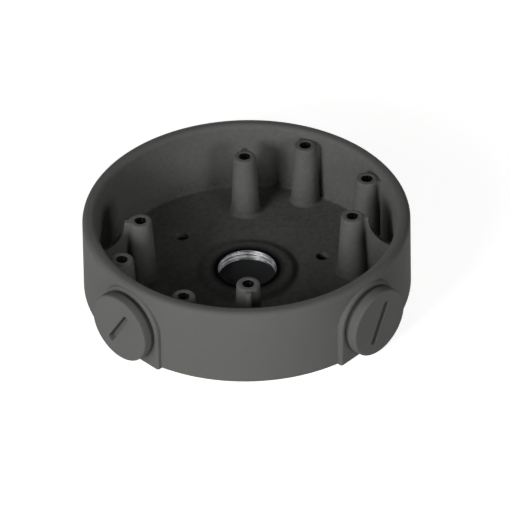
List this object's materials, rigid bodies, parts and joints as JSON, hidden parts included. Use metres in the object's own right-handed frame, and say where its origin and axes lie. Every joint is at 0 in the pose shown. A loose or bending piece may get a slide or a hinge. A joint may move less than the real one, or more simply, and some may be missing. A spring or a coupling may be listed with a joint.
{
  "type": "camera mount base",
  "caption": "Round die-cast base box for a dome camera, open in front, with tapped posts, two side conduit ports closed by slotted screw plugs, and an open rear conduit entry.",
  "frame": {"origin": "centre of the rear face, which goes on the wall", "axes": "+Z out of the open side, towards the camera; one side port looks along -X and the other along -Y"},
  "size_m": [0.1448, 0.1448, 0.0345],
  "materials": {
    "powder_coated_casting": "matte dark grey powder coat on die-cast aluminium, bare where tapped",
    "powder_coated_plug": "matte dark grey powder coat on die-cast aluminium, bare on the thread",
    "seal_rubber": "matte black moulded rubber"
  },
  "bodies": {
    "base": {"base_housing": "powder_coated_casting"},
    "left_seal": {"left_port_seal": "seal_rubber"},
    "left_plug": {"left_port_plug": "powder_coated_plug"},
    "right_seal": {"right_port_seal": "seal_rubber"},
    "right_plug": {"right_port_plug": "powder_coated_plug"}
  },
  "joints": [
    {"name": "left_plug_travel", "type": "slide", "parent": "base", "child": "left_seal", "axis": [-1, 0, 0], "range_m": [0, 0.0082]},
    {"name": "left_plug_turn", "type": "hinge", "parent": "left_seal", "child": "left_plug", "pos_m": [-0.0713, 0, 0.0165], "axis": [-1, 0, 0], "range_deg": [0, 1620]},
    {"name": "right_plug_travel", "type": "slide", "parent": "base", "child": "right_seal", "axis": [0, -1, 0], "range_m": [0, 0.0082]},
    {"name": "right_plug_turn", "type": "hinge", "parent": "right_seal", "child": "right_plug", "pos_m": [0, -0.0713, 0.0165], "axis": [0, -1, 0], "range_deg": [0, 1620]}
  ],
  "couplings": [
    {"joint": "left_plug_travel", "follows": "left_plug_turn", "m_per_rad": 0.00028871},
    {"joint": "right_plug_travel", "follows": "right_plug_turn", "m_per_rad": 0.00028871}
  ]
}
